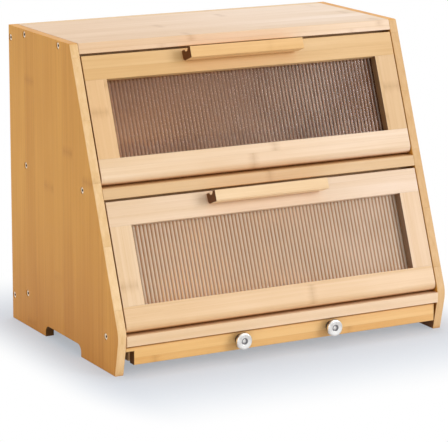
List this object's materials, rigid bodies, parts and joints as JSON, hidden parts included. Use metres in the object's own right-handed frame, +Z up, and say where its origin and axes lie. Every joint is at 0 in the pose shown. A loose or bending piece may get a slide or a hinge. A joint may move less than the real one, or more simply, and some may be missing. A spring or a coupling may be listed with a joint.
{
  "type": "bread box",
  "caption": "Bamboo bread box with a sloping front, drop-down doors with ribbed clear windows and bar handles, and a shallow drawer with round metal knobs underneath.",
  "frame": {"origin": "centre of the footprint of the whole object, knobs included, on the surface it stands on", "axes": "+X to the viewer's right, +Y towards the back panel, +Z up"},
  "size_m": [0.4, 0.273, 0.33],
  "materials": {
    "bamboo": "satin clear-coated bamboo board",
    "clear_plastic": "clear ribbed acrylic",
    "knob_metal": "satin nickel plate",
    "steel": "zinc-plated steel",
    "magnet_plating": "bright nickel plate",
    "bush_plastic": "natural nylon"
  },
  "bodies": {
    "case": {"back_panel": "bamboo", "bottom_shelf": "bamboo", "case_screws_left": "steel", "case_screws_right": "steel", "drawer_runner_left": "bamboo", "drawer_runner_right": "bamboo", "drawer_stop_block": "bamboo", "lower_hinge_bushes": "bush_plastic", "lower_magnets": "magnet_plating", "lower_stop_strip": "bamboo", "middle_shelf": "bamboo", "runner_screws_left": "steel", "runner_screws_right": "steel", "side_panel_left": "bamboo", "side_panel_right": "bamboo", "top_panel": "bamboo", "upper_hinge_bushes": "bush_plastic", "upper_magnets": "magnet_plating", "upper_stop_strip": "bamboo"},
    "upper_door": {"upper_door_bottom_rail": "bamboo", "upper_door_handle": "bamboo", "upper_door_handle_screws": "steel", "upper_door_hinge_pins": "steel", "upper_door_left_stile": "bamboo", "upper_door_right_stile": "bamboo", "upper_door_strike_plates": "steel", "upper_door_strike_screws": "steel", "upper_door_top_rail": "bamboo", "upper_door_window": "clear_plastic"},
    "lower_door": {"lower_door_bottom_rail": "bamboo", "lower_door_handle": "bamboo", "lower_door_handle_screws": "steel", "lower_door_hinge_pins": "steel", "lower_door_left_stile": "bamboo", "lower_door_right_stile": "bamboo", "lower_door_strike_plates": "steel", "lower_door_strike_screws": "steel", "lower_door_top_rail": "bamboo", "lower_door_window": "clear_plastic"},
    "drawer": {"drawer_back": "bamboo", "drawer_dowels": "bamboo", "drawer_floor": "bamboo", "drawer_front": "bamboo", "drawer_knob_left": "knob_metal", "drawer_knob_right": "knob_metal", "drawer_screws": "steel", "drawer_side_left": "bamboo", "drawer_side_right": "bamboo", "knob_screws": "steel"}
  },
  "joints": [
    {"name": "upper_door_hinge", "type": "hinge", "parent": "case", "child": "upper_door", "pos_m": [0, -0.06296, 0.1952], "axis": [1, 0, 0], "range_deg": [0, 107]},
    {"name": "lower_door_hinge", "type": "hinge", "parent": "case", "child": "lower_door", "pos_m": [0, -0.11887, 0.0517], "axis": [1, 0, 0], "range_deg": [0, 107]},
    {"name": "drawer_slide", "type": "slide", "parent": "case", "child": "drawer", "axis": [0, -1, 0], "range_m": [0, 0.16]}
  ]
}
